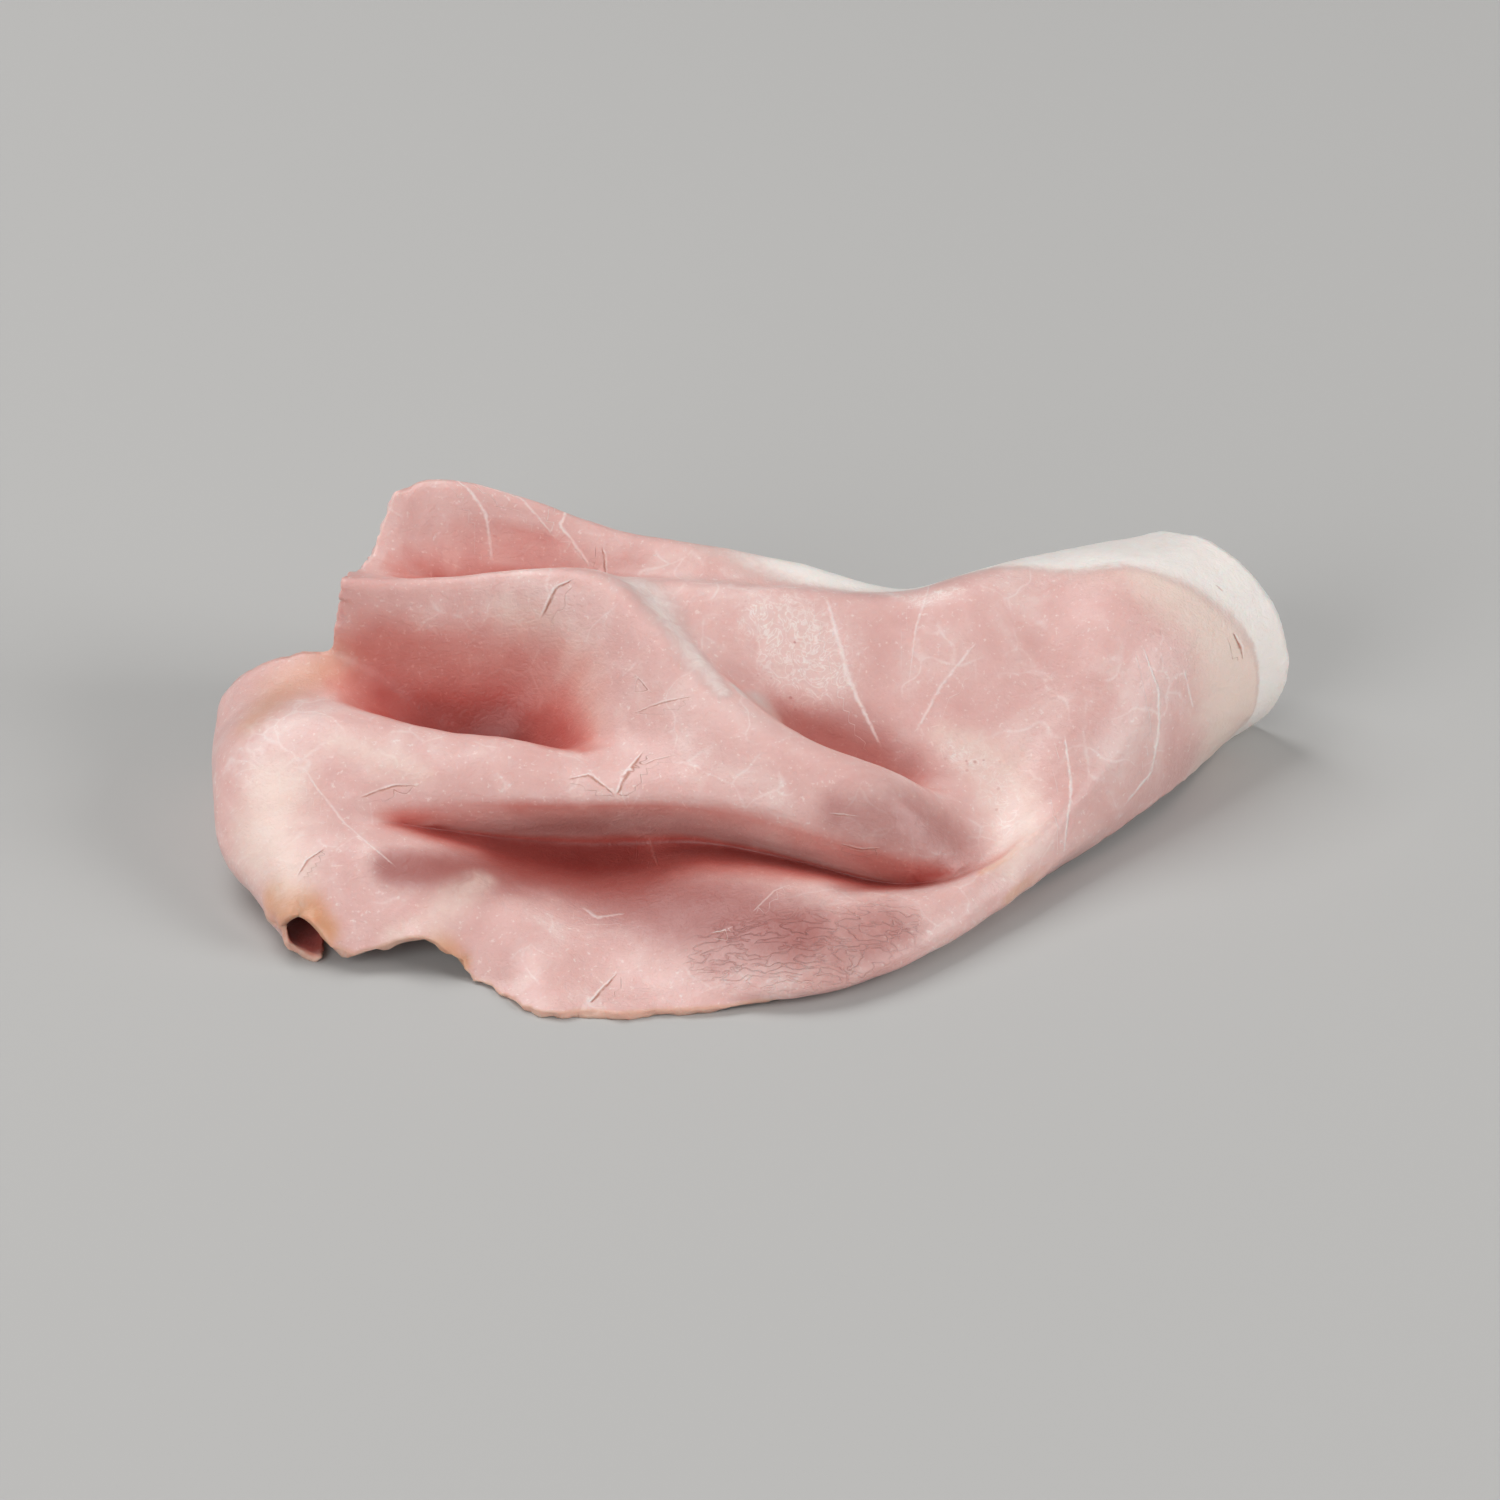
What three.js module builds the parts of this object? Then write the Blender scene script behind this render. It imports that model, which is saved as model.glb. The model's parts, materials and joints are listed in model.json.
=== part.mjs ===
// One thin slice of cooked ham, crumpled into soft ruffles as it lies when it drops from the slicer.
// Millimetres, +Z up. X runs along the crumpled slice, -Y is the side with the loose ragged edge.
import * as THREE from "three";

// Driving dimensions
const sliceThickness = 1.2;
const hamPink = 0xe2aaa0;

// Where the sections through the ruffles stand, and the cells of the mesh from one to the next
const stationX = [-44, -31.5, -20, -7, 7, 20, 31];
const cellsPerStation = 4;
const lying = stationX.map(() => sliceThickness / 2);

// Each crest or trough of the crumple is one smooth line along the slice. start is where it begins at the left,
// y and z are its place and height at each station, and cells is how many cells reach to the next line. The
// slice is drawn across them in this order, from the loose front edge, over every ruffle, to the back edge.
const foldLines = [
  { name: "front edge", cells: 3, start: [-58, -28.5, 7.5],
    y: [-32.5, -38.5, -44.5, -42.5, -36.5, -29, -17.5], z: lying },
  { name: "flange foot", cells: 4, start: [-58, -22.5, 10.8],
    y: [-27, -34, -40, -38, -43, -35.5, -24], z: [6.5, 4, 0.6, 2.6, 2.8, 3, 3.2] },
  { name: "flange crest", cells: 3, start: [-58, -17.5, 12.3],
    y: [-20, -23, -25, -21, -25, -27, -19.5], z: [11, 6.8, 4.8, 7.6, 8.8, 7.6, 7.3] },
  { name: "front trough", cells: 3, start: [-58, -14.5, 12.6],
    y: [-9.5, -5, -4.5, -5.5, -10.5, -17, -16.3], z: [8.3, 4, 3.2, 4.2, 3.6, 3.8, 5.8] },
  { name: "lip", cells: 3, start: [-58, -10, 15.2],
    y: [-12, -12.4, -13, -14, -16.3, -18.5, -13.5], z: [13.6, 13.6, 14.8, 15.3, 12.6, 9.3, 6] },
  { name: "front crest", cells: 3, start: [-58, 1, 20.8],
    y: [-1, -2.5, -7, -9.5, -13.5, -16.5, -11.5], z: [20, 19, 17, 18.5, 17.8, 14, 6.5] },
  { name: "inner trough", cells: 3, start: [-58, 10, 18],
    y: [8, 6.5, 0.5, -5, -10, -13, -9.3], z: [8.5, 9, 16.5, 22.3, 20.8, 16.8, 7] },
  { name: "wall foot", cells: 4, start: [-57.5, 18, 19.8],
    y: [13.5, 12.5, 8.5, -0.5, -6.5, -9.8, -6.8], z: [13.5, 14.5, 26.5, 25.6, 20.6, 17, 8] },
  { name: "wall crest", cells: 3, start: [-56.5, 15.5, 32],
    y: [16.5, 17, 14, 4, -3.2, -6.8, -4], z: [32.5, 33.7, 33.5, 27, 18.6, 15, 9.6] },
  { name: "wall back", cells: 5, start: [-55, 20, 31],
    y: [20, 20.5, 19, 9, 1.5, -2.5, 1], z: [29, 30, 32, 25.3, 14.6, 10.2, 13.2] },
  { name: "middle crest", cells: 3, start: [-53, 24, 31],
    y: [24, 24, 21.5, 18, 17.5, 18, 20], z: [27.5, 27.5, 29.5, 31, 30.5, 28.2, 30.3] },
  { name: "collar foot", cells: 3, start: [-51, 28, 33.5],
    y: [28, 27.5, 25, 23, 24, 24.5, 28], z: [32, 30, 28, 28, 25.5, 25, 27] },
  { name: "collar crest", cells: 4, start: [-48.5, 31.5, 38],
    y: [32.5, 31, 30, 29, 30, 30, 33], z: [39.9, 38, 33.2, 31.3, 27.5, 22.5, 22.5] },
  { name: "back wall", cells: 5, start: [-47, 37.5, 24],
    y: [36.5, 33.5, 37, 33, 36.5, 34, 38], z: [24, 20, 18, 16, 14, 13, 12] },
  { name: "back edge", cells: 0, start: [-46.5, 41, lying[0]],
    y: [40, 36, 42, 36.5, 42.5, 38, 43], z: lying },
];
const lineNamed = (name) => foldLines.findIndex((line) => line.name === name);

// The left end curls over and back under itself, furthest at the widest line. The slice is torn off before it
// behind the wall foot.
const curl = { frontReach: 5.5, reach: 16, widestLine: lineNamed("inner trough"), steps: 4, cells: 3 };
const firstTornLine = lineNamed("wall crest");

// The right end is a loose roll, drawn by two round sections, each across the roll's own direction. The middle
// crest meets a section at crestTurn degrees and the line before it at frontTurn. The others are a step apart.
const roll = [
  { centre: [47, 25, 9], across: [0.354, -0.935], wide: 20, high: 20.5,
    crestTurn: 110, frontTurn: 79, frontStep: 10.9, backStep: 25, cells: 7 },
  { centre: [60.8, 38, 12], across: [0.846, -0.533], wide: 14.7, high: 14.7,
    crestTurn: 112, frontTurn: 83, frontStep: 15.8, backStep: 29, cells: 8 },
];
const crestLine = lineNamed("middle crest");

// Nicks and lifts of the loose edge: its place along X, its width, and how far it goes forward and up
const edgeShapes = [
  { x: -55, width: 4, forward: 3.5, up: -4.5 },
  { x: -43.5, width: 4.5, forward: 0, up: 5 },
  { x: -38, width: 2.5, forward: -1.5, up: 0 },
  { x: -34.5, width: 3, forward: 0, up: -3.5 },
  { x: -28, width: 3.5, forward: 4, up: 0 },
  { x: -2, width: 6, forward: 1.5, up: 0 },
];
const edgeReach = 9;

const relaxRounds = 3;
const relaxShare = 0.35;

/** The points of the curled left end on one fold line, from under the slice up to the line's start. */
function curlPoints(start, lineIndex) {
  const swell = Math.sin((Math.PI / 2) * (lineIndex / curl.widestLine));
  const reach = curl.frontReach + (curl.reach - curl.frontReach) * swell;
  const points = [];
  for (let step = 0; step < curl.steps; step++) {
    const turn = Math.PI * (1 - step / curl.steps);
    const height = (start.z / 2) * (1 + Math.cos(turn));
    points.push(new THREE.Vector3(start.x - reach * Math.sin(turn), start.y, height));
  }
  return points;
}

/** Where a fold line meets one round section of the right end. */
function rollPoint(section, lineIndex) {
  const linesBehind = lineIndex - crestLine;
  const degrees = linesBehind < 0
    ? section.frontTurn + (linesBehind + 1) * section.frontStep
    : section.crestTurn + linesBehind * section.backStep;
  const turn = THREE.MathUtils.degToRad(degrees);
  const out = section.wide * Math.cos(turn);
  return new THREE.Vector3(
    section.centre[0] + section.across[0] * out,
    section.centre[1] + section.across[1] * out,
    section.centre[2] + section.high * Math.sin(turn),
  );
}

/** One fold line as a smooth curve, with the knot that it starts at. */
function foldCurve(line, lineIndex) {
  const start = new THREE.Vector3(...line.start);
  const torn = lineIndex >= firstTornLine;
  const points = torn ? [start] : [...curlPoints(start, lineIndex), start];
  stationX.forEach((x, i) => points.push(new THREE.Vector3(x, line.y[i], line.z[i])));
  roll.forEach((section) => points.push(rollPoint(section, lineIndex)));
  return { curve: new THREE.CatmullRomCurve3(points, false, "centripetal"), firstKnot: torn ? curl.steps : 0 };
}

/** Evenly spread places from 0 up, with the given number of cells between each whole number and the next. */
function spread(cells) {
  const places = cells.flatMap((count, whole) => Array.from({ length: count }, (_, i) => whole + i / count));
  return [...places, cells.length];
}

/** The knots along the slice that the columns of the mesh stand on. */
function columnKnots() {
  return spread([
    ...Array(curl.steps).fill(curl.cells),
    ...stationX.map(() => cellsPerStation),
    ...roll.map((section) => section.cells),
  ]);
}

/** The places of the mesh's rows on a curve across the first few fold lines, from 0 to 1. */
function rowPlaces(lineCount) {
  const cells = foldLines.slice(0, lineCount - 1).map((line) => line.cells);
  return spread(cells).map((place) => place / cells.length);
}

/** The loose edge's nicks and lifts at one point, fading out towards the middle of the slice. */
function shapeEdge(point, rowsIn) {
  const fade = Math.max(0, 1 - rowsIn / edgeReach) ** 2;
  for (const shape of edgeShapes) {
    const share = fade * Math.exp(-(((point.x - shape.x) / shape.width) ** 2));
    point.y -= shape.forward * share;
    point.z += shape.up * share;
  }
}

/** The middle surface of the slice: columns of points from the front edge to the back edge. */
function middleSurface() {
  const curves = foldLines.map(foldCurve);
  const lastKnot = curl.steps + stationX.length + roll.length;
  return columnKnots().map((knot) => {
    const reached = curves.filter(({ firstKnot }) => knot >= firstKnot);
    const met = reached.map(({ curve, firstKnot }) => curve.getPoint((knot - firstKnot) / (lastKnot - firstKnot)));
    const across = new THREE.CatmullRomCurve3(met, false, "centripetal");
    const column = rowPlaces(met.length).map((place) => across.getPoint(place));
    column.forEach(shapeEdge);
    return column;
  });
}

const columns = middleSurface();
const pointAt = (i, j) => (columns[i] ? columns[i][j] : undefined);

/** Whether the slice has meat between columns i and i + 1 and rows j and j + 1. */
function hasCell(i, j) {
  return [[i, j], [i + 1, j], [i, j + 1], [i + 1, j + 1]].every(([a, b]) => pointAt(a, b) !== undefined);
}

/** Whether the point has meat on all four sides. */
function isInside(i, j) {
  return hasCell(i, j) && hasCell(i - 1, j) && hasCell(i, j - 1) && hasCell(i - 1, j - 1);
}

/** Evens out the surface a little, as the meat's own weight does. The free edges stay where they are. */
function relax() {
  for (let round = 0; round < relaxRounds; round++) {
    const before = columns.map((column) => column.map((point) => point.clone()));
    before.forEach((column, i) => column.forEach((point, j) => {
      if (!isInside(i, j)) return;
      const mean = before[i + 1][j].clone().add(before[i - 1][j]).add(column[j + 1]).add(column[j - 1]);
      columns[i][j].lerp(mean.divideScalar(4), relaxShare);
    }));
  }
}

/** The direction out of the slice's upper face at one point. */
function normalAt(i, j) {
  const here = pointAt(i, j);
  const along = (pointAt(i + 1, j) ?? here).clone().sub(pointAt(i - 1, j) ?? here);
  const across = (pointAt(i, j + 1) ?? here).clone().sub(pointAt(i, j - 1) ?? here);
  return along.cross(across).normalize();
}

/** The slice as one closed solid: both faces, half the thickness off the middle, and the cut edge all round. */
function sliceGeometry() {
  const half = sliceThickness / 2;
  const positions = [];
  const addVertex = (point) => positions.push(point.x, point.y, Math.max(point.z, 0)) / 3 - 1;
  const faces = columns.map((column, i) => column.map((point, j) => {
    const out = normalAt(i, j);
    const middle = point.clone();
    middle.z = Math.max(middle.z, half * Math.abs(out.z));
    return [middle.clone().addScaledVector(out, half), middle.clone().addScaledVector(out, -half)].map(addVertex);
  }));
  const triangles = [];
  const addQuad = (a, b, c, d) => triangles.push(a, b, c, a, c, d);
  for (let i = 0; i < columns.length - 1; i++) {
    for (let j = 0; j < columns[i].length - 1; j++) {
      if (!hasCell(i, j)) continue;
      const [p, q, r, s] = [faces[i][j], faces[i + 1][j], faces[i + 1][j + 1], faces[i][j + 1]];
      addQuad(p[0], q[0], r[0], s[0]);
      addQuad(p[1], s[1], r[1], q[1]);
      if (!hasCell(i, j - 1)) addQuad(p[0], p[1], q[1], q[0]);
      if (!hasCell(i + 1, j)) addQuad(q[0], q[1], r[1], r[0]);
      if (!hasCell(i, j + 1)) addQuad(r[0], r[1], s[1], s[0]);
      if (!hasCell(i - 1, j)) addQuad(s[0], s[1], p[1], p[0]);
    }
  }
  const geometry = new THREE.BufferGeometry();
  geometry.setAttribute("position", new THREE.Float32BufferAttribute(positions, 3));
  geometry.setIndex(triangles);
  return geometry;
}

relax();
const geometry = sliceGeometry();
geometry.computeBoundingBox();
const middle = geometry.boundingBox.getCenter(new THREE.Vector3());
const slice = new THREE.Mesh(
  geometry,
  new THREE.MeshStandardMaterial({ color: hamPink, roughness: 0.5, metalness: 0 }),
);
slice.name = "ham_slice";
slice.position.set(-middle.x, -middle.y, 0);

const ham = new THREE.Group();
ham.add(slice);
export default ham;
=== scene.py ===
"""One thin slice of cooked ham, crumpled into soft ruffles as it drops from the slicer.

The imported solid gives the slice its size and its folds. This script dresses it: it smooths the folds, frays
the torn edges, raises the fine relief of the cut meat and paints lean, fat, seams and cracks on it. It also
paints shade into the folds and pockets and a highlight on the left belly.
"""

from __future__ import annotations

import json
import logging
import math
from dataclasses import dataclass, field
from enum import Enum
from typing import Any

import bmesh
import bpy
import numpy as np
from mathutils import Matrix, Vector, noise
from mathutils.bvhtree import BVHTree
from mathutils.kdtree import KDTree

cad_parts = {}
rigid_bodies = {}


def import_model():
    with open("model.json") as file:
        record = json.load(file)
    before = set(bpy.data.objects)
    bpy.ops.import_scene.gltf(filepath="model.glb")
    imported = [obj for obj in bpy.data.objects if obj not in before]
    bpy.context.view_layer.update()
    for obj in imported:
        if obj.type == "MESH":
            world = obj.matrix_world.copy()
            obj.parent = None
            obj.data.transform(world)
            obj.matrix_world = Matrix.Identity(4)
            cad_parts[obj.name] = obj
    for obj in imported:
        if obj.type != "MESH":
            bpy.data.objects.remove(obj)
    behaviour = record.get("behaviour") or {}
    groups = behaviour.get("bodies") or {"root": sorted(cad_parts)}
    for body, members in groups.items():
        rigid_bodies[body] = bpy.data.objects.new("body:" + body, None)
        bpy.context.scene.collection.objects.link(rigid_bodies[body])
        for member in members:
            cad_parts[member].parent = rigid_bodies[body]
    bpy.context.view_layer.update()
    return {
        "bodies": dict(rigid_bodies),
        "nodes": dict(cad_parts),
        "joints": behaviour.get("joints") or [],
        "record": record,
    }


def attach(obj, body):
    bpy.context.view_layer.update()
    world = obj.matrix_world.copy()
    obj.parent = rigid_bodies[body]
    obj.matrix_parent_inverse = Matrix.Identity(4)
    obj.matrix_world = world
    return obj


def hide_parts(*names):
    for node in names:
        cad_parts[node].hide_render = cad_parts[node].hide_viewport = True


MM = 0.001

log = logging.getLogger("cooked_ham")


class Side(Enum):
    """The three kinds of surface that a slice has."""

    UPPER = 0
    LOWER = 1
    RIM = 2


class Tissue(Enum):
    """What a mark on the slice is made of, or the painted shade or highlight that it partly stands for. The
    value is the name of its attribute on the mesh.
    """

    FAT = "fat"
    # Cream-coloured meat, and also a painted highlight on the bright left belly.
    CREAM_AND_HIGHLIGHT = "cream"
    MARBLED = "marbled"
    GRISTLE = "gristle"
    # Darker muscle, and also painted shade on the flange under the lip, at the nose and in the valleys.
    DARK_MUSCLE_AND_SHADE = "deep"
    SCALY = "scaly"
    # Painted warm shade: the orange glow of light through the sheet in the pockets, and the shade behind the
    # collar.
    PAINTED_WARM_SHADE = "painted_warm_shade"
    SEAM = "seam"
    CRACK = "crack"


def linear(hex_colour: str) -> tuple[float, float, float, float]:
    """Turns an sRGB colour into the linear values that a shader takes.

    Args:
        hex_colour: six hexadecimal digits after a hash sign.

    Returns:
        Red, green, blue and an alpha of 1.
    """
    channels = [int(hex_colour[i:i + 2], 16) / 255 for i in (1, 3, 5)]
    r, g, b = (c / 12.92 if c <= 0.04045 else ((c + 0.055) / 1.055) ** 2.4 for c in channels)
    return r, g, b, 1.0


def smooth_step(low: float, high: float, value: np.ndarray) -> np.ndarray:
    """Rises smoothly from 0 at low to 1 at high, or falls where low is above high.

    Args:
        low: the value that gives 0.
        high: the value that gives 1.
        value: the values to turn.

    Returns:
        The share for each value.
    """
    share = np.clip((value - low) / (high - low), 0, 1)
    return share * share * (3 - 2 * share)


def unit(vectors: np.ndarray) -> np.ndarray:
    """Scales each row to length 1."""
    return vectors / np.maximum(np.linalg.norm(vectors, axis=-1, keepdims=True), 1e-12)


def noise_at(points: np.ndarray, wavelength: float, seed: float, octaves: int = 1) -> np.ndarray:
    """Samples smooth noise at points on the slice.

    Args:
        points: places in metres, one a row.
        wavelength: the size of the noise's largest features, in metres.
        seed: moves the pattern, so that two patterns differ.
        octaves: how many finer layers the noise has.

    Returns:
        A value of about -1 to 1 for each point.
    """
    shift = Vector((seed, 2.3 * seed, -1.7 * seed))
    scale = 1 / wavelength
    if octaves == 1:
        return np.array([noise.noise(Vector(p) * scale + shift) for p in points])
    return np.array([noise.fractal(Vector(p) * scale + shift, 1.0, 2.0, octaves) for p in points])


@dataclass(frozen=True)
class PhotographView:
    """Where the photograph was taken from: its height angle, its distance, and the part's place in it."""

    elevation_deg: float = 30.84
    distance: float = 2179 * MM
    part_right: float = -15.7 * MM
    part_up: float = -25.5 * MM

    @property
    def right(self) -> Vector:
        """The view's own direction to the right."""
        return Vector((1, 0, 0))

    @property
    def up(self) -> Vector:
        """The view's own direction upwards."""
        angle = math.radians(self.elevation_deg)
        return Vector((0, math.sin(angle), math.cos(angle)))

    @property
    def forward(self) -> Vector:
        """The direction that the view looks in."""
        angle = math.radians(self.elevation_deg)
        return Vector((0, math.cos(angle), -math.sin(angle)))

    @property
    def eye(self) -> Vector:
        """The camera's place."""
        return -(self.part_right * self.right + self.part_up * self.up + self.distance * self.forward)

    def direction_to(self, across_mm: float, up_mm: float) -> Vector:
        """The direction from the eye to a point of the view's own plane through the part's origin.

        Args:
            across_mm: how far the point is to the right of the origin, as seen.
            up_mm: how far it is above the origin, as seen.

        Returns:
            The direction, of length 1.
        """
        point = (self.right * across_mm + self.up * up_mm) * MM
        return (point - self.eye).normalized()


@dataclass(frozen=True)
class Mark:
    """A patch, seam or crack of the slice, drawn along a line of points in the photograph's view.

    Attributes:
        tissue: what it is made of, or the painted shade or highlight that it partly stands for.
        path: its points, in millimetres to the right of the part's origin and above it, as seen.
        half_widths: half its width in millimetres, at equal steps along the path.
        strength: how strongly it shows, from 0 to 1.
        softness: how far it fades out past its width, as a share of the width.
    """

    tissue: Tissue
    path: tuple[tuple[float, float], ...]
    half_widths: tuple[float, ...]
    strength: float = 1.0
    softness: float = 0.8


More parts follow.
